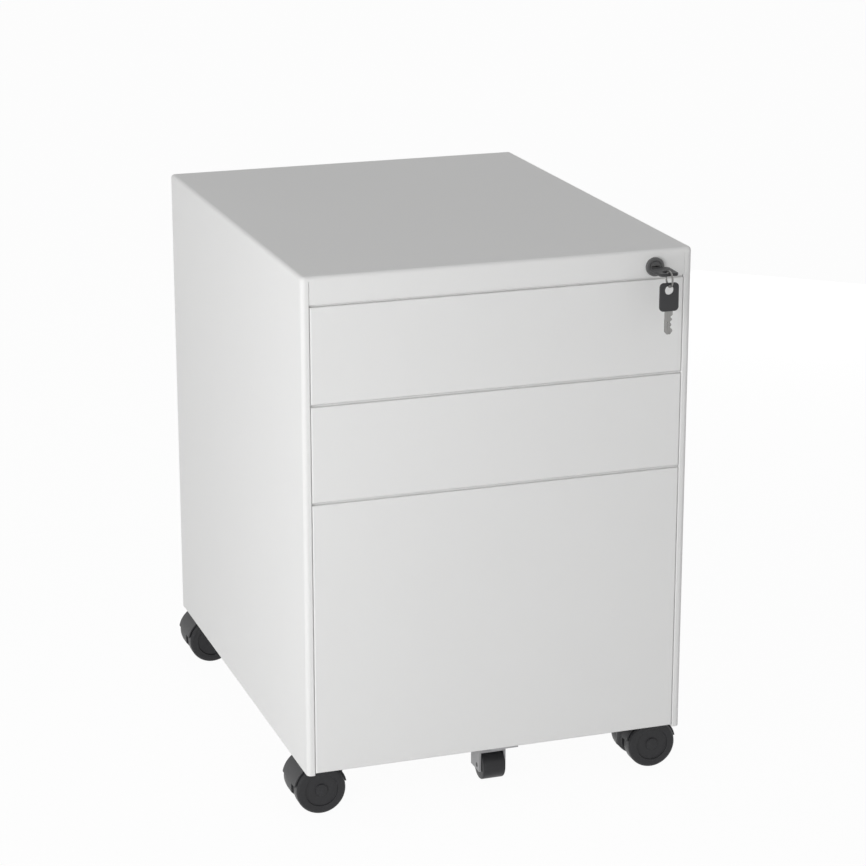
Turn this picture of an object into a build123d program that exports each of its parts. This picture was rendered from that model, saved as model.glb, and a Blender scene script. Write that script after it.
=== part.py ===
"""Three-drawer mobile filing cabinet in painted sheet steel.

The front faces -Y, the floor is z = 0, and the origin is under the middle of the object's own box,
keys included. Depths are measured back from the plane of the drawer fronts.
"""
import os
from math import cos, radians, sin

from build123d import *

# Cabinet
CAB_W = 390.0
CAB_D = 500.0
BODY_H = 495.0
FLOOR_GAP = 51.0
SHEET = 0.8
TOP_EDGE_R = 4.0
TOP_LIP = 5.0
HEM_W = 8.0
HEM_R = 4.5
HEM_INNER_R = 1.2
HEM_DEPTH = 15.0
REAR_FLANGE = 15.0
REAR_R = 2.0
FOOT_HEM = 8.0
RAIL_H = 26.8
RAIL_RETURN = 12.0
LOCK_RAIL_ROOM = 20.5
BASE_T = 1.0
BASE_LIFT = 10.0
BASE_FLANGE = 15.0
BASE_FRONT_FLANGE = 5.0
BASE_SETBACK = 24.0
SLACK = 0.3
CLEAR = 1.0
RUN_FIT = 0.08

# Uprights that carry the slides
UPRIGHT_W = 40.0
UPRIGHT_FRONT = 60.0
UPRIGHT_REAR = 80.0
UPRIGHT_PROUD = 7.0

# Drawers
GAP = 2.5
GAP_SLIT = 0.9
GAP_DEPTH = 3.5
BOX_FRONT_H = 93.3
FRONT_SIDE_GAP = 0.45
FRONT_T = 15.0
FRONT_R = 1.2
FRONT_LIP = 28.0
FOOT_REVEAL = 2.0
TRAY_L = 450.0
BOX_TRAY_H = 68.0
BOX_TRAY_LIFT = 8.5
FILE_TRAY_H = 228.0
FILE_TRAY_LIFT = 7.0
TRAY_LIP = 6.0
FILE_LIP = 9.0
HANGER_T = 2.0
HANGER_H = 14.0

# Slides
SLIDE_GAP = 12.7
SLIDE_T = 1.2
SLIDE_SPACE = 1.0
BOX_SLIDE_H = 35.0
BOX_RUNNER_H = 24.0
BOX_SLIDE_LIFT = 25.0
FILE_SLIDE_H = 46.0
FILE_MID_H = 37.0
FILE_RUNNER_H = 27.0
FILE_SLIDE_LIFT = 60.0
FILE_SLIDE_STEP = 4.7
FILE_MID_STEP = 2.7
BOX_SLIDE_STEP = 3.7
CAGE_L = 80.0
CAGE_WEB = 0.5
BOX_CAGE_DEPTH = 200.0
FILE_CAGE_DEPTH = 155.0

# Lock
LOCK_INSET = 39.0
LOCK_DROP = 16.7
LOCK_HEAD_R = 9.2
LOCK_HEAD_T = 3.0
LOCK_EDGE = 1.0
LOCK_BODY_R = 6.9
LOCK_BODY_L = 22.0
PLUG_R = 5.5
PLUG_PROUD = 0.4
PLUG_TAIL = 2.0
NUT_R = 8.9
NUT_T = 4.0
CAM_T = 2.5
CAM_ARM = 8.0
CAM_START = 45.0
CAM_HUB_R = 5.0
PIN_R = 2.0
PIN_L = 6.5
PIN_PLAY = 0.5
PIN_END_PLAY = 1.5

# Lock bar
BAR_T = 2.0
BAR_W = 10.0
BAR_DEPTH = 24.0
BAR_INSET = 4.7
BAR_FOOT = 5.0
ARM_T = 2.5
ARM_H = 11.0
ARM_GAP = 1.5
FINGER_L = 10.0
FINGER_W = 6.0
CATCH_H = 8.0
CATCH_T = 2.0
CATCH_REACH = 11.5
BOX_CATCH_LIFT = 46.0
FILE_CATCH_LIFT = 200.0
GUIDE_H = 12.0
GUIDE_GAP = 12.0
GUIDE_WALL = 2.0
GUIDE_FACE = 1.0

# Keys
BOW_W = 19.4
BOW_L = 27.5
BOW_T = 3.0
BOW_R = 4.0
BOW_START = 9.5
BOW_HOLE_R = 4.5
BOW_BRIDGE = 2.5
BLADE_W = 8.0
BLADE_T = 2.2
BLADE_L = 22.5
BLADE_PLAY = 0.2
RING_R = 7.4
WIRE_R = 0.75
RING_DROP = 4.3
KEY_HANG = 0.7

# Casters
WHEEL_R = 25.0
WHEEL_OUT = 25.5
WHEEL_IN = 9.0
TREAD_R = 2.0
DISH_R = 16.0
DISH_T = 2.0
AXLE_R = 3.0
TRAIL = 20.0
STEM_INSET = 40.0
STEM_FRONT = 46.0
STEM_REAR = 29.0
STEM_R = 4.0
STEM_L = 25.0
CANOPY_GAP = 0.6
CANOPY_T = 1.4
CANOPY_W = 42.0
CANOPY_LOW = 30.0
WEB_LOW = 19.0
PLATE_W = 44.0
PLATE_T = 2.5
SCREW_PITCH = 32.0
SCREW_R = 2.2
SCREW_HEAD_R = 4.2
SCREW_HEAD_T = 2.2
NUT_H = 3.5

# Fifth wheel under the file drawer
FIFTH_X = 8.5
FIFTH_DEPTH = 45.0
FIFTH_R = 15.0
FIFTH_W = 23.5
FIFTH_LIFT = 3.0
FIFTH_AXLE_R = 2.5
FORK_T = 2.0
FORK_REAR = 62.0

# Rivets of the back panel
RIVET_R = 1.6
RIVET_HEAD_R = 3.2
RIVET_HEAD_T = 1.0
RIVET_INSET = 45.0
RIVET_COUNT = 4

# Places worked out from the sizes above
HALF_W = CAB_W / 2
SKIN_X = HALF_W - SHEET
HEM_X = HALF_W - HEM_W
FACE_X = SKIN_X - UPRIGHT_PROUD
TRAY_X = FACE_X - SLIDE_GAP
LOCK_X = HALF_W - LOCK_INSET
BAR_X = SKIN_X - BAR_INSET
STEM_X = HALF_W - STEM_INSET
FRONT_X = HEM_X - FRONT_SIDE_GAP
TOP_Z = FLOOR_GAP + BODY_H
LIP_Z = TOP_Z - TOP_LIP
BASE_Z = FLOOR_GAP + BASE_LIFT
FILE_TRAY_Z = BASE_Z + FILE_TRAY_LIFT
RAIL_Z = TOP_Z - RAIL_H
LOCK_Z = TOP_Z - LOCK_DROP
BOW_END = BOW_START + BOW_L
RING_PIVOT = BOW_END - BOW_BRIDGE / 2
KEY_REACH = RING_PIVOT + RING_R + WIRE_R
FRONT = (KEY_REACH - CAB_D - RIVET_HEAD_T) / 2
BACK = FRONT + CAB_D
TRAY_FRONT = FRONT + FRONT_T
SLIDE_DEPTH = FRONT_T + CLEAR
UPPER_TOP = RAIL_Z - GAP
UPPER_LOW = UPPER_TOP - BOX_FRONT_H
MIDDLE_TOP = UPPER_LOW - GAP
MIDDLE_LOW = MIDDLE_TOP - BOX_FRONT_H
FILE_TOP = MIDDLE_LOW - GAP
FILE_LOW = FLOOR_GAP + FOOT_REVEAL
UPPER_TRAY_Z = UPPER_LOW + BOX_TRAY_LIFT
MIDDLE_TRAY_Z = MIDDLE_LOW + BOX_TRAY_LIFT
CAM_Z = CAM_ARM * sin(radians(CAM_START))
CAM_X = CAM_ARM * cos(radians(CAM_START))
BAR_STROKE = 2 * CAM_Z
CAM_DEPTH = LOCK_BODY_L + PLUG_TAIL
ARM_DEPTH = CAM_DEPTH + CAM_T + ARM_GAP
PLATE_Z = BASE_Z - PLATE_T
RING_Z = LOCK_Z - RING_DROP
SPARE_Z = RING_Z - RING_R
SPARE_TOP = SPARE_Z + WIRE_R + KEY_HANG + BOW_BRIDGE
RIVET_PITCH = (LIP_Z - BASE_Z - 2 * RIVET_INSET) / (RIVET_COUNT - 1)
RIVET_HEIGHTS = [BASE_Z + RIVET_INSET + step * RIVET_PITCH for step in range(RIVET_COUNT)]

os.makedirs("parts", exist_ok=True)


def save(piece, name):
    """Label a finished piece and write it under its own name."""
    piece.part.label = name
    export_step(piece.part, f"parts/{name}.step")


def slab(x, y, z, mode=Mode.ADD):
    """A box between two places on each axis, in the part being built."""
    sizes = [abs(end - start) for start, end in (x, y, z)]
    middle = tuple((start + end) / 2 for start, end in (x, y, z))
    with Locations(middle):
        Box(*sizes, mode=mode)


def xz_at(y):
    """An upright plane facing the front, with its x to the right and its y up."""
    return Plane.XZ.offset(-y)


# Side panels: one folded sheet each, from the front hem round to the rear flange
for side, name in ((-1, "left"), (1, "right")):
    outline = [
        (side * HEM_X, FRONT + HEM_DEPTH),
        (side * HEM_X, FRONT),
        (side * HALF_W, FRONT),
        (side * HALF_W, BACK),
        (side * (HALF_W - REAR_FLANGE), BACK),
    ]
    with BuildPart() as side_panel:
        with BuildSketch(Plane.XY.offset(FLOOR_GAP)):
            with BuildLine():
                FilletPolyline(*outline, radius=[HEM_INNER_R, HEM_R, REAR_R])
                offset(amount=SHEET, side=Side.LEFT if side > 0 else Side.RIGHT)
            make_face()
        extrude(amount=LIP_Z - FLOOR_GAP)
        slab(
            (side * (SKIN_X - SHEET), side * SKIN_X),
            (FRONT + HEM_DEPTH, BACK - REAR_FLANGE),
            (FLOOR_GAP, FLOOR_GAP + FOOT_HEM),
        )
        for height in RIVET_HEIGHTS:
            with BuildSketch(xz_at(BACK)):
                with Locations((side * (HALF_W - REAR_FLANGE / 2), height)):
                    Circle(RIVET_R + SLACK)
            extrude(amount=2 * SHEET, mode=Mode.SUBTRACT)
    save(side_panel, f"{name}_side_panel")

# Top panel: a shallow pan whose front drops between the hems as the lock's rail
with BuildPart() as top_panel:
    slab((-HALF_W, HALF_W), (FRONT, BACK), (LIP_Z, TOP_Z))
    fillet(top_panel.edges().filter_by(Axis.Z).group_by(Axis.Y)[0], radius=HEM_R)
    fillet(top_panel.edges().filter_by(Axis.Z).group_by(Axis.Y)[-1], radius=REAR_R)
    fillet(top_panel.faces().sort_by(Axis.Z)[-1].edges(), radius=TOP_EDGE_R)
    offset(amount=-SHEET, openings=top_panel.faces().sort_by(Axis.Z)[0])
    slab((-HEM_X, HEM_X), (FRONT, FRONT + SHEET), (RAIL_Z, LIP_Z + SHEET))
    slab((-HEM_X, HEM_X), (FRONT, FRONT + RAIL_RETURN), (RAIL_Z, RAIL_Z + SHEET))
    with BuildSketch(xz_at(FRONT + SHEET)):
        with Locations((LOCK_X, LOCK_Z)):
            Circle(LOCK_BODY_R + SLACK)
    extrude(amount=2 * SHEET, mode=Mode.SUBTRACT)
save(top_panel, "top_panel")

# Lock rail: the channel that closes the rail into a box, short of the lock
rail_web = FRONT + RAIL_RETURN
rail_low = RAIL_Z + SHEET
rail_high = TOP_Z - SHEET
rail_x = (-HEM_X + CLEAR, LOCK_X - LOCK_RAIL_ROOM)
with BuildPart() as lock_rail:
    slab(rail_x, (rail_web, rail_web + SHEET), (rail_low, rail_high))
    slab(rail_x, (FRONT + TOP_LIP, rail_web), (rail_low, rail_low + SHEET))
    slab(rail_x, (FRONT + TOP_LIP, rail_web), (rail_high - SHEET, rail_high))
save(lock_rail, "lock_rail")

# Back panel inside the rear flanges
rivet_x = HALF_W - REAR_FLANGE / 2
rivet_places = [(side * rivet_x, height) for side in (-1, 1) for height in RIVET_HEIGHTS]
with BuildPart() as back_panel:
    slab(
        (-HALF_W + SHEET + REAR_R, HALF_W - SHEET - REAR_R),
        (BACK - 2 * SHEET, BACK - SHEET),
        (BASE_Z, LIP_Z),
    )
    with BuildSketch(xz_at(BACK)):
        with Locations(*rivet_places):
            Circle(RIVET_R + SLACK)
    extrude(amount=3 * SHEET, mode=Mode.SUBTRACT)
save(back_panel, "back_panel")

# Base pan, with holes for the caster screws
stems = [
    (side * STEM_X, stem_y)
    for stem_y in (FRONT + STEM_FRONT, BACK - STEM_REAR)
    for side in (-1, 1)
]
screw_places = [
    (x + dx * SCREW_PITCH / 2, y + dy * SCREW_PITCH / 2)
    for x, y in stems
    for dx in (-1, 1)
    for dy in (-1, 1)
]
base_front = FRONT + BASE_SETBACK
base_back = BACK - REAR_R
with BuildPart() as base_pan:
    slab((-SKIN_X, SKIN_X), (base_front, base_back), (BASE_Z, BASE_Z + BASE_T))
    for side in (-1, 1):
        slab(
            (side * (SKIN_X - BASE_T), side * SKIN_X),
            (base_front, base_back),
            (BASE_Z, BASE_Z + BASE_FLANGE),
        )
    slab((-SKIN_X, SKIN_X), (base_back - BASE_T, base_back), (BASE_Z, BASE_Z + BASE_FLANGE))
    slab(
        (-SKIN_X, SKIN_X),
        (base_front, base_front + BASE_T),
        (BASE_Z, BASE_Z + BASE_FRONT_FLANGE),
    )
    with BuildSketch(Plane.XY.offset(BASE_Z)):
        with Locations(*screw_places):
            Circle(SCREW_R + SLACK)
    extrude(amount=BASE_T, mode=Mode.SUBTRACT)
save(base_pan, "base_pan")

# Caster plates, and the fixed stems that the casters swivel on
with BuildPart() as caster_plates:
    with BuildSketch(Plane.XY.offset(PLATE_Z)):
        with Locations(*stems):
            RectangleRounded(PLATE_W, PLATE_W, SCREW_HEAD_R)
        with Locations(*screw_places):
            Circle(SCREW_R + SLACK, mode=Mode.SUBTRACT)
    extrude(amount=PLATE_T)
save(caster_plates, "caster_plates")

with BuildPart() as caster_stems:
    with BuildSketch(Plane.XY.offset(PLATE_Z - STEM_L)):
        with Locations(*stems):
            Circle(STEM_R)
    extrude(amount=STEM_L)
save(caster_stems, "caster_stems")

# Fasteners: screws with nuts through the caster plates, and rivets through the back panel
with BuildPart() as fasteners:
    with BuildSketch(Plane.XY.offset(PLATE_Z - SCREW_HEAD_T)):
        with Locations(*screw_places):
            RegularPolygon(SCREW_HEAD_R, 6)
    extrude(amount=SCREW_HEAD_T)
    with BuildSketch(Plane.XY.offset(PLATE_Z)):
        with Locations(*screw_places):
            Circle(SCREW_R)
    extrude(amount=PLATE_T + BASE_T)
    with BuildSketch(Plane.XY.offset(BASE_Z + BASE_T)):
        with Locations(*screw_places):
            RegularPolygon(SCREW_HEAD_R, 6)
    extrude(amount=NUT_H)
    with BuildSketch(xz_at(BACK)):
        with Locations(*rivet_places):
            Circle(RIVET_R)
    extrude(amount=2 * SHEET)
    for face_y in (BACK + RIVET_HEAD_T, BACK - 2 * SHEET):
        with BuildSketch(xz_at(face_y)):
            with Locations(*rivet_places):
                Circle(RIVET_HEAD_R)
        extrude(amount=RIVET_HEAD_T)
save(fasteners, "fasteners")

# Uprights: two channels on each side, open towards the skin, that carry the slides
upright_low = BASE_Z + BASE_FLANGE + CLEAR
upright_high = RAIL_Z - GAP
with BuildPart() as uprights:
    for side in (-1, 1):
        for y in (FRONT + UPRIGHT_FRONT, BACK - UPRIGHT_REAR):
            with BuildSketch(Plane.XY.offset(upright_low)):
                with Locations((side * (FACE_X + SKIN_X) / 2, y)):
                    Rectangle(UPRIGHT_PROUD, UPRIGHT_W)
                with Locations((side * (FACE_X + SHEET + SKIN_X) / 2, y)):
                    Rectangle(UPRIGHT_PROUD - SHEET, UPRIGHT_W - 2 * SHEET, mode=Mode.SUBTRACT)
            extrude(amount=upright_high - upright_low)
save(uprights, "slide_uprights")


def channel(side, z, web, edge, half_h, depth, length, wall=SLIDE_T):
    """A long C along the depth: its web at one distance from the slide's face, its edges at another.

    Distances are counted from the cabinet's side towards the drawer.
    """
    inward = -side
    face = side * FACE_X
    back_face = web + (wall if edge > web else -wall)
    y = (FRONT + depth, FRONT + depth + length)
    slab((face + inward * web, face + inward * back_face), y, (z - half_h, z + half_h))
    for sign in (-1, 1):
        slab(
            (face + inward * web, face + inward * edge),
            y,
            (z + sign * half_h, z + sign * (half_h - wall)),
        )


def cage(side, z, web, edge, inner_h, outer_h, depth):
    """A ball cage: a thin web and two thick strips that fill the ball tracks, with room to run."""
    inward = -side
    face = side * FACE_X
    y = (FRONT + depth, FRONT + depth + CAGE_L)
    low = inner_h + SLACK
    high = outer_h - SLACK
    slab((face + inward * web, face + inward * (web + CAGE_WEB)), y, (z - high, z + high))
    for sign in (-1, 1):
        slab((face + inward * web, face + inward * edge), y, (z + sign * low, z + sign * high))


# Slides of the two box drawers: cabinet member, drawer runner and ball cage
box_flange = SLIDE_GAP - BOX_SLIDE_STEP
box_drawers = (("upper", UPPER_TRAY_Z), ("middle", MIDDLE_TRAY_Z))
for drawer, tray_z in box_drawers:
    slide_z = tray_z + BOX_SLIDE_LIFT
    for side, hand in ((-1, "left"), (1, "right")):
        with BuildPart() as member:
            channel(side, slide_z, 0, box_flange, BOX_SLIDE_H / 2, SLIDE_DEPTH, TRAY_L)
        save(member, f"{drawer}_{hand}_slide")
        with BuildPart() as runner:
            channel(side, slide_z, SLIDE_GAP, BOX_SLIDE_STEP, BOX_RUNNER_H / 2, SLIDE_DEPTH, TRAY_L)
        save(runner, f"{drawer}_{hand}_runner")
    with BuildPart() as cages:
        for side in (-1, 1):
            cage(
                side,
                slide_z,
                SLIDE_T + SLACK,
                box_flange - SLACK,
                BOX_RUNNER_H / 2,
                BOX_SLIDE_H / 2 - SLIDE_T,
                BOX_CAGE_DEPTH,
            )
    save(cages, f"{drawer}_ball_cages")

# Slides of the file drawer: three members each, with a cage in each of the two tracks
file_slide_z = FILE_TRAY_Z + FILE_SLIDE_LIFT
mid_web = SLIDE_T + SLIDE_SPACE
slide_edge = SLIDE_GAP - FILE_SLIDE_STEP
mid_edge = SLIDE_GAP - FILE_MID_STEP
runner_edge = mid_web + SLIDE_T + SLIDE_SPACE
for side, hand in ((-1, "left"), (1, "right")):
    with BuildPart() as member:
        channel(side, file_slide_z, 0, slide_edge, FILE_SLIDE_H / 2, SLIDE_DEPTH, TRAY_L)
    save(member, f"file_{hand}_slide")
    with BuildPart() as runner:
        channel(side, file_slide_z, SLIDE_GAP, runner_edge, FILE_RUNNER_H / 2, SLIDE_DEPTH, TRAY_L)
    save(runner, f"file_{hand}_runner")

with BuildPart() as middle_members:
    for side in (-1, 1):
        channel(side, file_slide_z, mid_web, mid_edge, FILE_MID_H / 2, SLIDE_DEPTH, TRAY_L)
save(middle_members, "file_mid_slides")

cage_gap = (SLIDE_SPACE - CAGE_WEB) / 2
with BuildPart() as outer_cages:
    for side in (-1, 1):
        cage(
            side,
            file_slide_z,
            SLIDE_T + cage_gap,
            slide_edge - SLACK,
            FILE_MID_H / 2,
            FILE_SLIDE_H / 2 - SLIDE_T,
            FILE_CAGE_DEPTH,
        )
save(outer_cages, "file_outer_ball_cages")

with BuildPart() as inner_cages:
    for side in (-1, 1):
        cage(
            side,
            file_slide_z,
            mid_web + SLIDE_T + cage_gap,
            mid_edge - SLACK,
            FILE_RUNNER_H / 2,
            FILE_MID_H / 2 - SLIDE_T,
            FILE_CAGE_DEPTH,
        )
save(inner_cages, "file_inner_ball_cages")

# Drawer fronts: pans with rounded edges and two upright lips that the tray is welded to.
# The top flange steps up behind the gap and leaves only a slit there.
step_y = FRONT + GAP_DEPTH
step_h = GAP - GAP_SLIT
fronts = (
    ("upper", UPPER_LOW, UPPER_TOP),
    ("middle", MIDDLE_LOW, MIDDLE_TOP),
    ("file", FILE_LOW, FILE_TOP),
)
for drawer, low, high in fronts:
    with BuildPart() as drawer_front:
        slab((-FRONT_X, FRONT_X), (FRONT, TRAY_FRONT), (low, high))
        fillet(drawer_front.faces().sort_by(Axis.Y)[0].edges(), radius=FRONT_R)
        slab((-FRONT_X, FRONT_X), (step_y, TRAY_FRONT), (high, high + step_h))
        slab(
            (-FRONT_X + SHEET, FRONT_X - SHEET),
            (FRONT + SHEET, TRAY_FRONT),
            (low + SHEET, high - SHEET),
            mode=Mode.SUBTRACT,
        )
        slab(
            (-FRONT_X + SHEET, FRONT_X - SHEET),
            (step_y + SHEET, TRAY_FRONT),
            (high - SHEET, high + step_h - SHEET),
            mode=Mode.SUBTRACT,
        )
        for side in (-1, 1):
            slab(
                (side * (FRONT_X - FRONT_LIP), side * FRONT_X),
                (TRAY_FRONT - SHEET, TRAY_FRONT),
                (low, high),
            )
    save(drawer_front, f"{drawer}_drawer_front")

# Drawer trays: open boxes with lips along the sides, each with a catch for the lock bar on its right
trays = (
    ("upper", UPPER_TRAY_Z, BOX_TRAY_H, TRAY_LIP, BOX_CATCH_LIFT),
    ("middle", MIDDLE_TRAY_Z, BOX_TRAY_H, TRAY_LIP, BOX_CATCH_LIFT),
    ("file", FILE_TRAY_Z, FILE_TRAY_H, FILE_LIP, FILE_CATCH_LIFT),
)
catch_front = FRONT + BAR_DEPTH + FINGER_W + CLEAR
tray_back = TRAY_FRONT + TRAY_L
for drawer, low, height, lip, catch_lift in trays:
    high = low + height
    with BuildPart() as tray:
        slab((-TRAY_X, TRAY_X), (TRAY_FRONT, tray_back), (low, high))
        slab(
            (-TRAY_X + SHEET, TRAY_X - SHEET),
            (TRAY_FRONT + SHEET, tray_back - SHEET),
            (low + SHEET, high),
            mode=Mode.SUBTRACT,
        )
        for side in (-1, 1):
            slab(
                (side * (TRAY_X - lip), side * TRAY_X),
                (TRAY_FRONT, tray_back),
                (high - SHEET, high),
            )
    save(tray, f"{drawer}_tray")

    with BuildPart() as catch:
        slab(
            (TRAY_X, TRAY_X + CATCH_REACH),
            (catch_front, catch_front + CATCH_T),
            (low + catch_lift, low + catch_lift + CATCH_H),
        )
    save(catch, f"{drawer}_lock_catch")

# Rails for hanging files, standing on the file tray's lips
hanger_x = TRAY_X - FILE_LIP
hanger_z = FILE_TRAY_Z + FILE_TRAY_H
with BuildPart() as hanging_rails:
    for side in (-1, 1):
        slab(
            (side * hanger_x, side * (hanger_x + HANGER_T)),
            (TRAY_FRONT, tray_back),
            (hanger_z, hanger_z + HANGER_H),
        )
save(hanging_rails, "hanging_file_rails")

# Lock barrel through the rail, and the nut behind it
with BuildPart() as lock_barrel:
    with BuildSketch(xz_at(FRONT)):
        with Locations((LOCK_X, LOCK_Z)):
            Circle(LOCK_HEAD_R)
    extrude(amount=LOCK_HEAD_T)
    chamfer(lock_barrel.edges().filter_by(GeomType.CIRCLE).sort_by(Axis.Y)[0], length=LOCK_EDGE)
    with BuildSketch(xz_at(FRONT + LOCK_BODY_L)):
        with Locations((LOCK_X, LOCK_Z)):
            Circle(LOCK_BODY_R)
    extrude(amount=LOCK_BODY_L)
    with BuildSketch(xz_at(FRONT + LOCK_BODY_L)):
        with Locations((LOCK_X, LOCK_Z)):
            Circle(PLUG_R + RUN_FIT)
    extrude(amount=LOCK_BODY_L + LOCK_HEAD_T, mode=Mode.SUBTRACT)
save(lock_barrel, "lock_barrel")

with BuildPart() as lock_nut:
    with BuildSketch(xz_at(FRONT + SHEET + NUT_T)):
        with Locations((LOCK_X, LOCK_Z)):
            RegularPolygon(NUT_R, 6)
            Circle(LOCK_BODY_R + RUN_FIT, mode=Mode.SUBTRACT)
    extrude(amount=NUT_T)
save(lock_nut, "lock_nut")

# Lock plug with its keyway, and the cam whose pin drives the bar
plug_face = FRONT - LOCK_HEAD_T - PLUG_PROUD
with BuildPart() as lock_plug:
    with BuildSketch(xz_at(FRONT + CAM_DEPTH)):
        with Locations((LOCK_X, LOCK_Z)):
            Circle(PLUG_R)
    extrude(amount=FRONT + CAM_DEPTH - plug_face)
    slab(
        (LOCK_X - BLADE_W / 2 - BLADE_PLAY, LOCK_X + BLADE_W / 2 + BLADE_PLAY),
        (plug_face, FRONT - BOW_START + BLADE_L + CLEAR),
        (LOCK_Z - BLADE_T / 2 - BLADE_PLAY, LOCK_Z + BLADE_T / 2 + BLADE_PLAY),
        mode=Mode.SUBTRACT,
    )
save(lock_plug, "lock_plug")

with BuildPart() as lock_cam:
    with BuildSketch(xz_at(FRONT + CAM_DEPTH + CAM_T)):
        with Locations((LOCK_X, LOCK_Z)):
            Circle(CAM_HUB_R)
        with Locations((LOCK_X + CAM_X / 2, LOCK_Z + CAM_Z / 2)):
            SlotCenterToCenter(CAM_ARM, 3 * PIN_R, rotation=CAM_START)
    extrude(amount=CAM_T)
    with BuildSketch(xz_at(FRONT + CAM_DEPTH + CAM_T + PIN_L)):
        with Locations((LOCK_X + CAM_X, LOCK_Z + CAM_Z)):
            Circle(PIN_R)
    extrude(amount=PIN_L)
save(lock_cam, "lock_cam")

# Lock bar: an upright strip, an arm slotted for the cam's pin, and a finger for each drawer
arm_z = LOCK_Z + CAM_Z
slot_left = LOCK_X + CAM_X - PIN_R - PIN_END_PLAY
slot_right = LOCK_X + CAM_ARM + PIN_R + PIN_END_PLAY
slot_half = PIN_R + PIN_PLAY
finger_places = [low + catch_lift + BAR_STROKE for _, low, _, _, catch_lift in trays]
bar_y = (FRONT + BAR_DEPTH, FRONT + BAR_DEPTH + BAR_W)
bar_low = finger_places[-1] - BAR_STROKE - BAR_FOOT
with BuildPart() as lock_bar:
    slab((BAR_X, BAR_X + BAR_T), bar_y, (bar_low, arm_z + ARM_H / 2))
save(lock_bar, "lock_bar")

arm_y = (FRONT + ARM_DEPTH, FRONT + ARM_DEPTH + ARM_T)
with BuildPart() as lock_bar_arm:
    slab((slot_left - ARM_T, BAR_X), arm_y, (arm_z - ARM_H / 2, arm_z + ARM_H / 2))
    slab((slot_left, slot_right), arm_y, (arm_z - slot_half, arm_z + slot_half), mode=Mode.SUBTRACT)
save(lock_bar_arm, "lock_bar_arm")

with BuildPart() as lock_bar_fingers:
    for finger_z in finger_places:
        slab(
            (BAR_X - FINGER_L, BAR_X),
            (FRONT + BAR_DEPTH, FRONT + BAR_DEPTH + FINGER_W),
            (finger_z, finger_z + CATCH_H),
        )
save(lock_bar_fingers, "lock_bar_fingers")

# Guides that keep the bar against the right side, above the two lower fingers
with BuildPart() as lock_bar_guides:
    for finger_z in finger_places[1:]:
        guide_low = finger_z + CATCH_H + GUIDE_GAP
        guide_z = (guide_low, guide_low + GUIDE_H)
        slab(
            (BAR_X - SLACK - GUIDE_FACE, SKIN_X),
            (bar_y[0] - SLACK - GUIDE_WALL, bar_y[1] + SLACK + GUIDE_WALL),
            guide_z,
        )
        slab(
            (BAR_X - SLACK, BAR_X + BAR_T + SLACK),
            (bar_y[0] - SLACK, bar_y[1] + SLACK),
            guide_z,
            mode=Mode.SUBTRACT,
        )
save(lock_bar_guides, "lock_bar_guides")

# Key in the lock, lying flat: bow with its ring hole, and blade
bow_middle = FRONT - BOW_START - BOW_L / 2
hole_y = FRONT - BOW_END + BOW_BRIDGE + BOW_HOLE_R
with BuildPart() as key_bow:
    with BuildSketch(Plane.XY.offset(LOCK_Z - BOW_T / 2)):
        with Locations((LOCK_X, bow_middle)):
            RectangleRounded(BOW_W, BOW_L, BOW_R)
        with Locations((LOCK_X, hole_y)):
            Circle(BOW_HOLE_R, mode=Mode.SUBTRACT)
    extrude(amount=BOW_T)
save(key_bow, "key_bow")

with BuildPart() as key_blade:
    slab(
        (LOCK_X - BLADE_W / 2, LOCK_X + BLADE_W / 2),
        (FRONT - BOW_START, FRONT - BOW_START + BLADE_L),
        (LOCK_Z - BLADE_T / 2, LOCK_Z + BLADE_T / 2),
    )
    chamfer(key_blade.faces().sort_by(Axis.Y)[-1].edges().filter_by(Axis.Z), length=BLADE_W / 4)
save(key_blade, "key_blade")

# Ring of flat wire round the bow's bridge, in the upright plane along the key
ring_y = FRONT - RING_PIVOT
with BuildPart() as key_ring:
    with BuildSketch(Plane.XY.offset(RING_Z)):
        with Locations((LOCK_X, ring_y - RING_R)):
            Rectangle(2 * WIRE_R, 2 * WIRE_R)
    revolve(axis=Axis((LOCK_X, ring_y, RING_Z), (1, 0, 0)), revolution_arc=360)
save(key_ring, "key_ring")

# Spare key on the ring, hanging across the front
spare_plane = xz_at(ring_y + BOW_T / 2)
with BuildPart() as spare_key_bow:
    with BuildSketch(spare_plane):
        with Locations((LOCK_X, SPARE_TOP - BOW_L / 2)):
            RectangleRounded(BOW_W, BOW_L, BOW_R)
        with Locations((LOCK_X, SPARE_TOP - BOW_BRIDGE - BOW_HOLE_R)):
            Circle(BOW_HOLE_R, mode=Mode.SUBTRACT)
    extrude(amount=BOW_T)
save(spare_key_bow, "spare_key_bow")

spare_low = SPARE_TOP - BOW_L
with BuildPart() as spare_key_blade:
    slab(
        (LOCK_X - BLADE_W / 2, LOCK_X + BLADE_W / 2),
        (ring_y - BLADE_T / 2, ring_y + BLADE_T / 2),
        (spare_low - BLADE_L, spare_low),
    )
    chamfer(spare_key_blade.faces().sort_by(Axis.Z)[0].edges().filter_by(Axis.Y), length=BLADE_W / 4)
save(spare_key_blade, "spare_key_blade")

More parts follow.
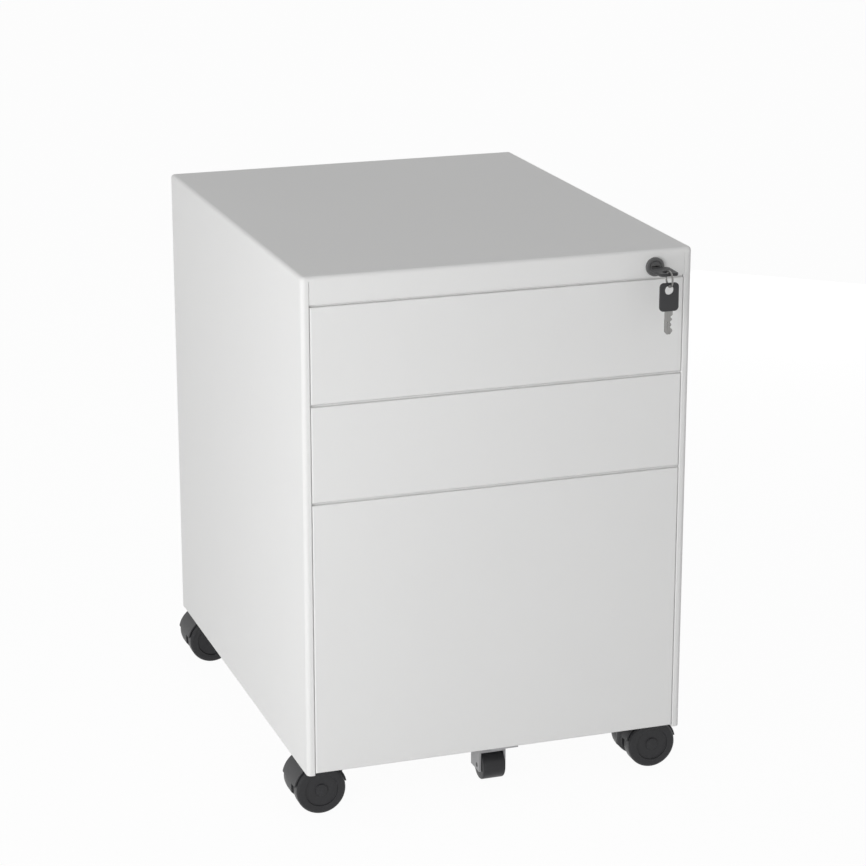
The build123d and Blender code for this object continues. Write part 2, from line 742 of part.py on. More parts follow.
# Twin-wheel casters: a hood that swivels on the fixed stem, and a pair of wheels on one axle
canopy_r = WHEEL_R + CANOPY_GAP + CANOPY_T
boss_r = WHEEL_IN - CANOPY_GAP
corners = ("front_left", "front_right", "rear_left", "rear_right")
for (stem_x, stem_y), corner in zip(stems, corners):
    axle_x = stem_x + (TRAIL if stem_x > 0 else -TRAIL)
    side_plane = xz_at(stem_y)
    with BuildPart() as hood:
        with BuildSketch(side_plane):
            with Locations((axle_x, WHEEL_R)):
                Circle(canopy_r)
                Circle(canopy_r - CANOPY_T, mode=Mode.SUBTRACT)
            with Locations((axle_x, CANOPY_LOW - canopy_r)):
                Rectangle(2 * canopy_r, 2 * canopy_r, mode=Mode.SUBTRACT)
        extrude(amount=CANOPY_W / 2, both=True)
        with BuildSketch(side_plane):
            with Locations((axle_x, WHEEL_R)):
                Circle(canopy_r - CANOPY_T / 2)
            with Locations((axle_x, WEB_LOW - canopy_r)):
                Rectangle(2 * canopy_r, 2 * canopy_r, mode=Mode.SUBTRACT)
        extrude(amount=boss_r, both=True)
        with BuildSketch(Plane.XY.offset(WEB_LOW)):
            with Locations((stem_x, stem_y)):
                Circle(boss_r)
        extrude(amount=PLATE_Z - SLACK - WEB_LOW)
        with BuildSketch(Plane.XY.offset(PLATE_Z - STEM_L - CLEAR)):
            with Locations((stem_x, stem_y)):
                Circle(STEM_R + RUN_FIT)
        extrude(amount=STEM_L + CLEAR, mode=Mode.SUBTRACT)
        with BuildSketch(side_plane):
            with Locations((axle_x, WHEEL_R)):
                Circle(AXLE_R + RUN_FIT)
        extrude(amount=WHEEL_IN, both=True, mode=Mode.SUBTRACT)
    save(hood, f"{corner}_caster_hood")

    with BuildPart() as wheels:
        with BuildSketch(side_plane):
            with Locations((axle_x, WHEEL_R)):
                Circle(AXLE_R)
        extrude(amount=WHEEL_OUT - DISH_T, both=True)
        for sign in (-1, 1):
            inner = stem_y + sign * WHEEL_IN
            outer = stem_y + sign * WHEEL_OUT
            with BuildSketch(xz_at(max(inner, outer))):
                with Locations((axle_x, WHEEL_R)):
                    Circle(WHEEL_R)
            extrude(amount=WHEEL_OUT - WHEEL_IN)
            with BuildSketch(xz_at(outer if sign > 0 else outer + DISH_T)):
                with Locations((axle_x, WHEEL_R)):
                    Circle(DISH_R)
            extrude(amount=DISH_T, mode=Mode.SUBTRACT)
        rims = wheels.edges().filter_by(GeomType.CIRCLE).filter_by(lambda e: e.radius > WHEEL_R - TREAD_R)
        chamfer(rims, length=TREAD_R)
    save(wheels, f"{corner}_caster_wheels")

# Fifth wheel: a roller in a fork under the file drawer's front, with a web across the fork above it
fifth_y = FRONT + FIFTH_DEPTH
fifth_z = FIFTH_LIFT + FIFTH_R
fork_x = FIFTH_W / 2 + SLACK
fork_front = fifth_y - FIFTH_R / 2
with BuildPart() as fifth_wheel_bracket:
    slab(
        (FIFTH_X - fork_x - FORK_T, FIFTH_X + fork_x + FORK_T),
        (FRONT + FRONT_R + SHEET, FRONT + FORK_REAR),
        (FILE_LOW - FORK_T, FILE_LOW),
    )
    slab(
        (FIFTH_X - fork_x, FIFTH_X + fork_x),
        (fork_front, fork_front + FORK_T),
        (fifth_z + FIFTH_R, FILE_LOW - FORK_T),
    )
    for sign in (-1, 1):
        inner = FIFTH_X + sign * fork_x
        slab(
            (inner, inner + sign * FORK_T),
            (fork_front, FRONT + FORK_REAR),
            (fifth_z - 2 * FIFTH_AXLE_R, FILE_LOW - FORK_T),
        )
        with BuildSketch(Plane.YZ.offset(min(inner, inner + sign * FORK_T))):
            with Locations((fifth_y, fifth_z)):
                Circle(FIFTH_AXLE_R + RUN_FIT)
        extrude(amount=FORK_T, mode=Mode.SUBTRACT)
save(fifth_wheel_bracket, "fifth_wheel_bracket")

with BuildPart() as fifth_wheel:
    with BuildSketch(Plane.YZ.offset(FIFTH_X)):
        with Locations((fifth_y, fifth_z)):
            Circle(FIFTH_R)
    extrude(amount=FIFTH_W / 2, both=True)
    chamfer(fifth_wheel.edges().filter_by(GeomType.CIRCLE), length=TREAD_R / 2)
    with BuildSketch(Plane.YZ.offset(FIFTH_X)):
        with Locations((fifth_y, fifth_z)):
            Circle(FIFTH_AXLE_R)
    extrude(amount=fork_x + FORK_T, both=True)
save(fifth_wheel, "fifth_wheel")
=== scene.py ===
"""Looks of a mobile filing cabinet: powder coat, plated steel, moulded plastic, keys, casters and stage."""
import math

import bmesh
import bpy
import numpy as np
from bpy.props import FloatProperty, FloatVectorProperty, IntProperty, PointerProperty
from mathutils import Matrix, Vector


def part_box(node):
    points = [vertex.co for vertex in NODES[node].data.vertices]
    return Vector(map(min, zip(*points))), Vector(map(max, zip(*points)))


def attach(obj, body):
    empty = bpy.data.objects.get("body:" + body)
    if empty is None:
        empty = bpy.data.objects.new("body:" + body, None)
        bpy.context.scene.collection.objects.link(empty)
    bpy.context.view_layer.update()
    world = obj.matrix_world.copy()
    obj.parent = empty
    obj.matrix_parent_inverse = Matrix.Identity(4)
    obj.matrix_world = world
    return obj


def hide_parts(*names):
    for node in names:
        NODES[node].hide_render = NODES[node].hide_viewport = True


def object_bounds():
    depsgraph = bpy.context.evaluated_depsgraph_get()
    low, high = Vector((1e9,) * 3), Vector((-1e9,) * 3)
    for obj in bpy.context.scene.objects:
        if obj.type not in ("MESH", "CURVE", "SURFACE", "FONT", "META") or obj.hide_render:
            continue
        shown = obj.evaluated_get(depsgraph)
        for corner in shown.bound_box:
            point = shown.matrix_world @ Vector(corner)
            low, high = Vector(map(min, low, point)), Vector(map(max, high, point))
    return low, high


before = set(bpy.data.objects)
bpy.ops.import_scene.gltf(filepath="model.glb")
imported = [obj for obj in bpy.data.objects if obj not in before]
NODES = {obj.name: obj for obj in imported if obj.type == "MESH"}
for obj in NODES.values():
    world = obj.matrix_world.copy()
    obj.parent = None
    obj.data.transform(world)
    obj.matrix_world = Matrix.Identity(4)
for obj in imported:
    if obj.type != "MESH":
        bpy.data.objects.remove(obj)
CAD_BOX = [list(corner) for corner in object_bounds()]

bl_info = {
    "name": "Mobile Filing Cabinet",
    "version": (1, 0, 0),
    "blender": (4, 5, 0),
    "location": "View3D > Sidebar > Cabinet",
    "description": "Dresses the cabinet's frame and sets its stage",
    "category": "Object",
}

CORNERS = ("front_left", "front_right", "rear_left", "rear_right")
DRAWERS = ("upper", "middle", "file")
HANDS = ("left", "right")
SHEET_NODES = (
    "left_side_panel",
    "right_side_panel",
    "top_panel",
    "lock_rail",
    "back_panel",
    "base_pan",
    "slide_uprights",
    *(f"{drawer}_drawer_front" for drawer in DRAWERS),
    *(f"{drawer}_tray" for drawer in DRAWERS),
)
PLATED_NODES = (
    "fasteners",
    "caster_plates",
    "caster_stems",
    "lock_nut",
    "lock_cam",
    "lock_bar",
    "lock_bar_arm",
    "lock_bar_fingers",
    "lock_bar_guides",
    "hanging_file_rails",
    "file_mid_slides",
    *(f"{drawer}_lock_catch" for drawer in DRAWERS),
    *(f"{drawer}_{hand}_slide" for drawer in DRAWERS for hand in HANDS),
    *(f"{drawer}_{hand}_runner" for drawer in DRAWERS for hand in HANDS),
)
CAGE_BODIES = {
    "upper_ball_cages": "upper_cages",
    "middle_ball_cages": "middle_cages",
    "file_outer_ball_cages": "file_outer_cages",
    "file_inner_ball_cages": "file_inner_cages",
}
X_AXIS, Y_AXIS, Z_AXIS = np.eye(3)

# Cuts of a key, as shares of the blade's length and of its width
CUT_PLACES = np.array(
    (0, 0.16, 0.22, 0.27, 0.33, 0.38, 0.44, 0.50, 0.55, 0.61, 0.66, 0.72, 0.78, 0.84, 1)
)
CUT_DEPTHS = np.array((0, 0, 0.28, 0.28, 0.10, 0.10, 0.34, 0.34, 0.18, 0.18, 0.30, 0.30, 0.06, 0, 0))
# One face of a blade with its groove, as shares of half the width and of half the thickness
FACE_PLACES = np.array((-1.0, -0.86, -0.34, -0.22, 0.22, 0.34, 0.86, 1.0))
FACE_HEIGHTS = np.array((0.55, 1.0, 1.0, 0.5, 0.5, 1.0, 1.0, 0.55))
# Where a blade begins to narrow, as a share of its length, and the share of its width left at the tip
TIP_START = 0.88
TIP_WIDTH = 0.45
# Width of the split ring over half the thickness of its wire
WIRE_PART = 4.2
# Points along a blade, round the ring's wire, and over a quarter circle of a bow's rim
BLADE_POINTS = 141
WIRE_POINTS = 16
RIM_POINTS = 6

# Mouth, rim and collar of the lock, in metres
MOUTH_FLARE = 0.0006
MOUTH_SINK = 0.0002
RIM_WIDTH = 0.0028
RIM_EDGE = 0.0005
COLLAR_EDGE = 0.0009

# Dish and hub of a caster wheel, in metres, with the hub's heights from the dish's floor
DISH_EDGE = 0.0006
HUB_FOOT = 0.0004
HUB_WALL = 0.0008
HUB_EDGE = 0.0006
HUB_CROWN = 0.0016

# Pin, recess and tread of the fifth wheel, in metres
PIN_RADIUS = 0.0025
PIN_REACH = 0.0023
RECESS_RADIUS = 0.007
RECESS_DEPTH = 0.0006
ROLLER_EDGE = 0.0016

# Strips of a ball cage, in metres
STRIP_THICKNESS = 0.0005
# Radius of a ball as a share of its track's height, then the pitch and the room at the ends in radii
BALL_SHARE = 0.49
BALL_PITCH = 2.6
END_ROOM = 1.5

# Depth of the grain in every finish, in metres
GRAIN_DEPTH = 0.0002

# How far the floor reaches each way, in metres, its points along a side, and its share of plain white
FLOOR_REACH = 8.0
FLOOR_POINTS = 9
FLOOR_WHITE = 0.96


# Values that a user may change


class CabinetFinish(bpy.types.PropertyGroup):
    """Colours of the cabinet's finishes, as linear values."""

    coat: FloatVectorProperty(
        name="Powder Coat",
        description="Colour of the painted sheet",
        subtype="COLOR",
        size=4,
        default=(0.80, 0.80, 0.795, 1.0),
    )
    zinc: FloatVectorProperty(
        name="Zinc Plate",
        description="Colour of slides, screws and the lock bar",
        subtype="COLOR",
        size=4,
        default=(0.62, 0.63, 0.65, 1.0),
    )
    moulding: FloatVectorProperty(
        name="Black Moulding",
        description="Colour of caster hoods and key bows",
        subtype="COLOR",
        size=4,
        default=(0.038, 0.038, 0.040, 1.0),
    )
    tread: FloatVectorProperty(
        name="Wheel Nylon",
        description="Colour of the caster wheels and the fifth wheel",
        subtype="COLOR",
        size=4,
        default=(0.026, 0.026, 0.028, 1.0),
    )
    lock: FloatVectorProperty(
        name="Lock Coating",
        description="Colour of the lock's barrel and plug",
        subtype="COLOR",
        size=4,
        default=(0.105, 0.105, 0.106, 1.0),
    )
    nickel: FloatVectorProperty(
        name="Key Nickel",
        description="Colour of the key blades and the ring",
        subtype="COLOR",
        size=4,
        default=(0.300, 0.297, 0.290, 1.0),
    )
    bracket: FloatVectorProperty(
        name="Bracket Grey",
        description="Colour of the fifth wheel's bracket",
        subtype="COLOR",
        size=4,
        default=(0.40, 0.40, 0.41, 1.0),
    )


class CabinetShapes(bpy.types.PropertyGroup):
    """Sizes of the pieces that are shaped here, in metres."""

    bow_corner: FloatProperty(
        name="Bow Corner",
        description="Corner radius of the key bows",
        unit="LENGTH",
        default=0.004,
    )
    bow_edge: FloatProperty(
        name="Bow Edge",
        description="Edge radius of the key bows",
        unit="LENGTH",
        default=0.0009,
    )
    bow_bridge: FloatProperty(
        name="Bow Bridge",
        description="Width left beside the ring hole",
        unit="LENGTH",
        default=0.0025,
    )
    bow_hole: FloatProperty(
        name="Ring Hole",
        description="Radius of the ring hole in a bow",
        unit="LENGTH",
        default=0.0045,
    )
    tread_edge: FloatProperty(
        name="Tread Edge",
        description="Edge radius of the caster wheels",
        unit="LENGTH",
        default=0.0035,
    )
    dish_radius: FloatProperty(
        name="Dish Radius",
        description="Radius of the hollow in a wheel's face",
        unit="LENGTH",
        default=0.0165,
    )
    dish_depth: FloatProperty(
        name="Dish Depth",
        description="Depth of the hollow in a wheel's face",
        unit="LENGTH",
        default=0.0018,
    )
    hub_radius: FloatProperty(
        name="Hub Radius",
        description="Radius of a wheel's hub cap",
        unit="LENGTH",
        default=0.0062,
    )
    wheel_gap: FloatProperty(
        name="Wheel Gap",
        description="Half the gap between twin wheels",
        unit="LENGTH",
        default=0.009,
    )
    axle_radius: FloatProperty(
        name="Axle Radius",
        description="Radius of a caster's axle",
        unit="LENGTH",
        default=0.003,
    )
    plug_radius: FloatProperty(
        name="Plug Radius",
        description="Bore of the lock's barrel",
        unit="LENGTH",
        default=0.0056,
    )
    barrel_radius: FloatProperty(
        name="Barrel Radius",
        description="Radius of the lock behind its collar",
        unit="LENGTH",
        default=0.0069,
    )
    collar_depth: FloatProperty(
        name="Collar Depth",
        description="How far the lock's collar stands out",
        unit="LENGTH",
        default=0.003,
    )
    segments: IntProperty(
        name="Segments",
        description="Steps round a turned piece",
        default=96,
    )


class CabinetStage(bpy.types.PropertyGroup):
    """Camera and light."""

    camera_place: FloatVectorProperty(
        name="Camera Place",
        description="Where the camera stands",
        subtype="TRANSLATION",
        size=3,
        default=(-0.8684, -2.57245, 1.1383),
    )
    camera_pan: FloatProperty(
        name="Camera Pan",
        description="Turn to the right of straight on",
        subtype="ANGLE",
        default=math.radians(18.87),
    )
    camera_tilt: FloatProperty(
        name="Camera Tilt",
        description="Downward tilt",
        subtype="ANGLE",
        default=math.radians(16.91),
    )
    camera_lens: FloatProperty(
        name="Camera Lens",
        description="Focal length in millimetres",
        subtype="DISTANCE_CAMERA",
        default=114.03,
    )
    low_light: FloatProperty(
        name="Low Light",
        description="Strength of the light from the sides",
        default=0.68,
    )
    high_light: FloatProperty(
        name="High Light",
        description="Strength of the light from above",
        default=0.31,
    )
    lamp_place: FloatVectorProperty(
        name="Lamp Place",
        description="Where the softbox hangs",
        subtype="TRANSLATION",
        size=3,
        default=(-1.45, -1.30, 0.60),
    )
    lamp_size: FloatProperty(
        name="Lamp Size",
        description="Side of the softbox",
        unit="LENGTH",
        default=1.2,
    )
    lamp_power: FloatProperty(
        name="Lamp Power",
        description="Power of the softbox",
        unit="POWER",
        default=18.6,
    )
    fill_place: FloatVectorProperty(
        name="Fill Place",
        description="Where the weaker softbox hangs behind",
        subtype="TRANSLATION",
        size=3,
        default=(1.30, 1.60, 0.25),
    )
    fill_size: FloatProperty(
        name="Fill Size",
        description="Side of the weaker softbox",
        unit="LENGTH",
        default=0.5,
    )
    fill_power: FloatProperty(
        name="Fill Power",
        description="Power of the weaker softbox",
        unit="POWER",
        default=9.0,
    )


# Meshes from arrays of points


def strip_faces(rows, columns, wrap_rows, wrap_columns):
    """Corner numbers of the quads between neighbouring points of a grid."""
    row = np.arange(rows if wrap_rows else rows - 1)
    column = np.arange(columns if wrap_columns else columns - 1)
    row, column = np.meshgrid(row, column, indexing="ij")
    next_row = (row + 1) % rows
    next_column = (column + 1) % columns
    corners = (
        row * columns + column,
        row * columns + next_column,
        next_row * columns + next_column,
        next_row * columns + column,
    )
    return np.stack(corners, axis=-1).reshape(-1, 4)


def piece_from_grids(name, grids, sharp=math.radians(35)):
    """One object from point grids, each given with whether its rows and columns close on themselves."""
    points = []
    faces = []
    start = 0
    for grid, wrap_rows, wrap_columns in grids:
        rows, columns = grid.shape[:2]
        points.append(grid.reshape(-1, 3))
        faces.append(strip_faces(rows, columns, wrap_rows, wrap_columns) + start)
        start += rows * columns
    mesh = bpy.data.meshes.new(name)
    mesh.from_pydata(np.concatenate(points), [], np.concatenate(faces))
    shell = bmesh.new()
    shell.from_mesh(mesh)
    bmesh.ops.remove_doubles(shell, verts=shell.verts, dist=1e-6)
    bmesh.ops.dissolve_degenerate(shell, edges=shell.edges, dist=1e-7)
    bmesh.ops.recalc_face_normals(shell, faces=shell.faces)
    shell.to_mesh(mesh)
    shell.free()
    mesh.shade_smooth()
    mesh.set_sharp_from_angle(angle=sharp)
    piece = bpy.data.objects.new(name, mesh)
    bpy.context.scene.collection.objects.link(piece)
    return piece


def lathe(profile, centre, axis, segments):
    """A profile of (radius, height) turned once round an axis.

    Each point is the centre, plus height along the axis, plus radius times the spoke at the turn's angle.
    """
    first = np.roll(axis, 1)
    second = np.cross(axis, first)
    angle = np.linspace(0.0, 2 * np.pi, segments, endpoint=False)[:, None]
    spoke = np.cos(angle) * first + np.sin(angle) * second
    radius, height = profile.T[:, :, None, None]
    return centre + radius * spoke + height * axis


def arc(centre, radius, start, end, steps=7):
    """Points of a circular arc in a profile's plane, from one angle in degrees to another."""
    angle = np.radians(np.linspace(start, end, steps))
    return np.column_stack((centre[0] + radius * np.cos(angle), centre[1] + radius * np.sin(angle)))


def carried(section, path, across, up, scale):
    """A closed section carried along a straight path, drawn to a point wherever its scale is zero.

    Each point is the path's point, plus the section's two coordinates times the scale, along two fixed
    directions.
    """
    sized = section * scale[:, None, None]
    return path[:, None] + sized[..., :1] * across + sized[..., 1:] * up


def bar(low, high):
    """A straight bar between two corners: a rectangle carried along Y, closed at both ends."""
    low, high = np.asarray(low), np.asarray(high)
    middle, half = (low + high) / 2, (high - low) / 2
    section = np.array(((-1, -1), (1, -1), (1, 1), (-1, 1))) * half[[0, 2]]
    path = middle + np.outer((-1, -1, 1, 1), half * Y_AXIS)
    return carried(section, path, X_AXIS, Z_AXIS, np.array((0.0, 1.0, 1.0, 0.0))), False, True


def sphere(centre, radius, rings=6, spokes=10):
    """A ball: the centre plus the radius times the direction at each latitude and longitude."""
    latitude = np.linspace(-np.pi / 2, np.pi / 2, rings)[:, None]
    longitude = np.linspace(0.0, 2 * np.pi, spokes, endpoint=False)
    x = np.cos(latitude) * np.cos(longitude)
    y = np.cos(latitude) * np.sin(longitude)
    z = np.sin(latitude) + 0 * longitude
    return centre + radius * np.stack((x, y, z), axis=-1), False, True


# Shapes of keys, ring, lock, wheels and ball cages


def rounded_reach(angle, ahead, behind, half_width, corner):
    """Distance from a ring hole to the rim of a rounded rectangle, by angle.

    The nearer straight side is taken first. Where that point lies in a corner's square, the spoke meets
    the corner's circle instead, at d.c + sqrt((d.c)^2 - c.c + r^2) for the spoke d, the circle's centre c
    and its radius r.
    """
    along, across = np.cos(angle), np.sin(angle)
    end = np.where(along > 0, ahead, behind)
    tiny = 1e-9
    reach = np.minimum(end / np.maximum(abs(along), tiny), half_width / np.maximum(abs(across), tiny))
    centre_along = np.sign(along) * (end - corner)
    centre_across = np.sign(across) * (half_width - corner)
    dot = along * centre_along + across * centre_across
    root = np.maximum(dot**2 - centre_along**2 - centre_across**2 + corner**2, 0.0)
    in_corner = (abs(reach * along) > end - corner) & (abs(reach * across) > half_width - corner)
    return np.where(in_corner, dot + np.sqrt(root), reach)


def key_bow(low, high, away, across, shapes):
    """A key's flat bow: spokes round the ring hole, and a section with rounded rims on each spoke.

    The section goes over the outer rim in two quarter circles, then over the hole's rim in two more. Its
    place along a spoke is the rim's distance less the quarter circle's, or the hole's radius plus it.
    """
    normal = np.cross(away, across)
    middle, half = (low + high) / 2, (high - low) / 2
    half_length, half_width, half_thick = (abs(half @ axis) for axis in (away, across, normal))
    ahead = shapes.bow_bridge + shapes.bow_hole
    centre = middle + (half_length - ahead) * away
    angle = np.linspace(0.0, 2 * np.pi, 4 * shapes.segments, endpoint=False)
    reach = rounded_reach(angle, ahead, 2 * half_length - ahead, half_width, shapes.bow_corner)
    edge = shapes.bow_edge
    turn = np.radians(np.linspace(90, 0, RIM_POINTS))
    inset = edge * (1 - np.cos(turn))
    inset = np.concatenate((inset, inset[::-1]))
    rise = half_thick - edge + edge * np.sin(turn)
    rise = np.concatenate((rise, -rise[::-1]))
    outer = reach[:, None] - inset
    inner = shapes.bow_hole + inset + 0 * outer
    spoke = np.cos(angle)[:, None, None] * away + np.sin(angle)[:, None, None] * across
    radius = np.concatenate((outer, inner), axis=1)[..., None]
    height = np.concatenate((rise, -rise))[None, :, None]
    return centre + radius * spoke + height * normal, True, True


def key_blade(low, high, tip, across):
    """A key's blade: a grooved section carried to the tip, with one edge trimmed to the cuts.

    At each station the section's place across is held below half the width less the cut's depth there,
    and over the last part the width falls to the tip's.
    """
    normal = np.cross(tip, across)
    middle, half = (low + high) / 2, (high - low) / 2
    half_length, half_width, half_thick = (abs(half @ axis) for axis in (tip, across, normal))
    station = np.concatenate(((0.0,), np.linspace(0.0, 1.0, BLADE_POINTS), (1.0,)))
    place = np.concatenate((FACE_PLACES, FACE_PLACES[::-1])) * half_width
    height = np.concatenate((FACE_HEIGHTS, -FACE_HEIGHTS[::-1])) * half_thick
    taper = np.interp(station, (0.0, TIP_START, 1.0), (1.0, 1.0, TIP_WIDTH))[:, None]
    cut = np.interp(station, CUT_PLACES, CUT_DEPTHS)[:, None] * 2 * half_width
    scale = np.ones((station.size, 1))
    scale[[0, -1]] = 0.0
    width = np.minimum(place * taper, half_width * taper - cut) * scale
    path = middle + np.outer(2 * station - 1, half_length * tip)
    return path[:, None] + width[..., None] * across + (height * scale)[..., None] * normal, False, True


def split_ring(low, high, segments):
    """A split ring: two turns of flat wire side by side round the X axis.

    The sideways place is minus a quarter of the width on the first turn and plus a quarter on the second,
    with a smooth step where they meet. The section is a soft rectangle of cos and sin to the power one
    third, a little thinner than half the width, which leaves a fine gap between the turns.
    """
    middle = (low + high) / 2
    width = high[0] - low[0]
    outer = (high[2] - low[2]) / 2
    half_wire = width / WIRE_PART
    turn = np.concatenate(((0.0,), np.linspace(0.0, 4 * np.pi, 3 * segments), (4 * np.pi,)))
    crossing = 0.4 * np.pi
    step = np.clip((turn - 2 * np.pi) / crossing + 0.5, 0.0, 1.0)
    sideways = width / 2 * (step**2 * (3 - 2 * step) - 0.5)
    loop = np.linspace(0.0, 2 * np.pi, WIRE_POINTS, endpoint=False)
    circle = np.array((np.cos(loop), np.sin(loop)))
    soft = np.sign(circle) * np.abs(circle) ** (1 / 3)
    scale = np.ones((turn.size, 1))
    scale[[0, -1]] = 0.0
    radius = outer - width / 2 + scale * soft[0] * width / 2
    shift = sideways[:, None] + scale * soft[1] * half_wire
    points = (shift, radius * np.cos(turn)[:, None], radius * np.sin(turn)[:, None])
    return middle + np.stack(points, axis=-1), False, True


def collar_profile(radius, front, back, shapes):
    """Closed half section of the lock's barrel: bore, flared mouth, rim, rounded collar and shank."""
    bore, shank = shapes.plug_radius, shapes.barrel_radius
    collar = front + shapes.collar_depth
    return np.concatenate(
        (
            ((bore, back), (bore, front + MOUTH_FLARE), (bore + MOUTH_FLARE, front + MOUTH_SINK)),
            arc((radius - RIM_WIDTH, front + RIM_EDGE), RIM_EDGE, -150, -90, 4),
            arc((radius - COLLAR_EDGE, front + COLLAR_EDGE), COLLAR_EDGE, -90, 0),
            ((radius, collar), (shank, collar), (shank, back)),
        )
    )


def wheel_profile(radius, inner, outer, shapes):
    """Half section of one wheel, from the axle round the tread to the middle of the hub cap."""
    edge, dish, hub = shapes.tread_edge, shapes.dish_radius, shapes.hub_radius
    floor = outer - shapes.dish_depth
    wall = floor + HUB_WALL
    return np.concatenate(
        (
            ((0.0, inner), (radius - edge, inner)),
            arc((radius - edge, inner + edge), edge, -90, 0),
            arc((radius - edge, outer - edge), edge, 0, 90),
            arc((dish + DISH_EDGE, outer - DISH_EDGE), DISH_EDGE, 90, 180, 5),
            arc((dish - DISH_EDGE, floor + DISH_EDGE), DISH_EDGE, 0, -90, 5),
            ((hub + HUB_FOOT, floor), (hub, floor + HUB_FOOT), (hub, wall)),
            arc((hub - HUB_EDGE, wall), HUB_EDGE, 0, 90, 5),
            ((0.0, floor + HUB_CROWN),),
        )
    )


def roller_profile(radius, reach):
    """Half section of the fifth wheel: rounded tread, recess and pin, mirrored about the middle."""
    side = reach - PIN_REACH
    recess = side - RECESS_DEPTH
    half = np.concatenate(
        (
            arc((radius - ROLLER_EDGE, side - ROLLER_EDGE), ROLLER_EDGE, 0, 90),
            ((RECESS_RADIUS, side), (RECESS_RADIUS - RECESS_DEPTH, recess)),
            ((PIN_RADIUS, recess), (PIN_RADIUS, reach), (0.0, reach)),
        )
    )
    return np.concatenate(((half * (1, -1))[::-1], half))


def cage_grids(places, side):
    """The ball cage on one side: an upright web, and two flat strips with a row of balls along each.

    Each track lies between the least and the greatest distance of the cage's points from its middle height.
    """
    half = places[side * places[:, 0] > 0]
    low, high = half.min(axis=0), half.max(axis=0)
    middle = (low + high) / 2
    track = abs(half[:, 2] - middle[2])
    track_low, track_high = track.min(), track.max()
    web = abs(half[:, 0]).max()
    web_low, web_high = sorted((side * web, side * (web - STRIP_THICKNESS)))
    grids = [bar((web_low, low[1], low[2]), (web_high, high[1], high[2]))]
    radius = BALL_SHARE * (track_high - track_low)
    room = END_ROOM * radius
    count = int((high[1] - low[1]) / (BALL_PITCH * radius))
    for sign in (-1, 1):
        z = middle[2] + sign * (track_low + track_high) / 2
        under, over = z - STRIP_THICKNESS / 2, z + STRIP_THICKNESS / 2
        grids.append(bar((low[0], low[1], under), (high[0], high[1], over)))
        for y in np.linspace(low[1] + room, high[1] - room, count):
            grids.append(sphere(np.array((middle[0], y, z)), radius))
    return grids


# Nodes of the frame


def box_of(node):
    """Low and high corner of a node of the frame."""
    return tuple(np.array(corner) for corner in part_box(node))


def stand_for(piece, body, material, node):
    """A finished piece takes a node's place, its body's motion and its finish."""
    piece.data.materials.append(material)
    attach(piece, body)
    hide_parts(node)


def coat_nodes(names, material):
    """The frame's own nodes keep their mesh and take a material."""
    for name in names:
        node = NODES[name]
        if not node.material_slots:
            node.data.materials.append(material)
        for slot in node.material_slots:
            slot.material = material


# Materials


def add_node(tree, kind, settings=None, **sockets):
    """A node of one kind with its settings, and its inputs by name in lower case."""
    node = tree.nodes.new(kind)
    for key, value in (settings or {}).items():
        setattr(node, key, value)
    for key, value in sockets.items():
        node.inputs[key.replace("_", " ").title()].default_value = value
    return node


def new_group(name, inputs, outputs):
    """An empty shader group with named sockets, and its two end nodes."""
    tree = bpy.data.node_groups.new(name, "ShaderNodeTree")
    for label, kind, default in inputs:
        socket = tree.interface.new_socket(label, in_out="INPUT", socket_type=kind)
        socket.default_value = default
    for label, kind in outputs:
        tree.interface.new_socket(label, in_out="OUTPUT", socket_type=kind)
    return tree, tree.nodes.new("NodeGroupInput"), tree.nodes.new("NodeGroupOutput")


def surface_variation_group():
    """Slow changes of tone and gloss with a fine grain on top, all from Object coordinates.

    Places are stretched first, which draws both noises out into streaks. Tone is the base colour times
    one plus mottle times the centred slow noise. Gloss is the mean roughness plus spread times that
    noise. Height is a fine noise at the grain's scale.
    """
    tree, source, sink = new_group(
        "Surface Variation",
        (
            ("Base", "NodeSocketColor", (0.8, 0.8, 0.8, 1.0)),
            ("Mottle", "NodeSocketFloat", 0.04),
            ("Mottle Scale", "NodeSocketFloat", 9.0),
            ("Roughness", "NodeSocketFloat", 0.4),
            ("Spread", "NodeSocketFloat", 0.1),
            ("Grain Scale", "NodeSocketFloat", 900.0),
            ("Stretch", "NodeSocketVector", (1.0, 1.0, 1.0)),
        ),
        (("Color", "NodeSocketColor"), ("Roughness", "NodeSocketFloat"), ("Height", "NodeSocketFloat")),
    )
    link = tree.links.new
    place = add_node(tree, "ShaderNodeTexCoord")
    drawn = add_node(tree, "ShaderNodeVectorMath", {"operation": "MULTIPLY"})
    slow = add_node(tree, "ShaderNodeTexNoise", detail=3.0, roughness=0.55)
    grain = add_node(tree, "ShaderNodeTexNoise", detail=2.0, roughness=0.5)
    centred = add_node(tree, "ShaderNodeMath", {"operation": "SUBTRACT"})
    centred.inputs[1].default_value = 0.5
    lighten = add_node(tree, "ShaderNodeMath", {"operation": "MULTIPLY_ADD"})
    lighten.inputs[2].default_value = 1.0
    tint = add_node(tree, "ShaderNodeVectorMath", {"operation": "SCALE"})
    gloss = add_node(tree, "ShaderNodeMath", {"operation": "MULTIPLY_ADD"})
    link(place.outputs["Object"], drawn.inputs[0])
    link(source.outputs["Stretch"], drawn.inputs[1])
    for noise, scale in ((slow, "Mottle Scale"), (grain, "Grain Scale")):
        link(drawn.outputs[0], noise.inputs["Vector"])
        link(source.outputs[scale], noise.inputs["Scale"])
    link(slow.outputs[0], centred.inputs[0])
    link(centred.outputs[0], lighten.inputs[0])
    link(source.outputs["Mottle"], lighten.inputs[1])
    link(source.outputs["Base"], tint.inputs[0])
    link(lighten.outputs[0], tint.inputs["Scale"])
    link(tint.outputs[0], sink.inputs["Color"])
    link(centred.outputs[0], gloss.inputs[0])
    link(source.outputs["Spread"], gloss.inputs[1])
    link(source.outputs["Roughness"], gloss.inputs[2])
    link(gloss.outputs[0], sink.inputs["Roughness"])
    link(grain.outputs[0], sink.inputs["Height"])
    return tree


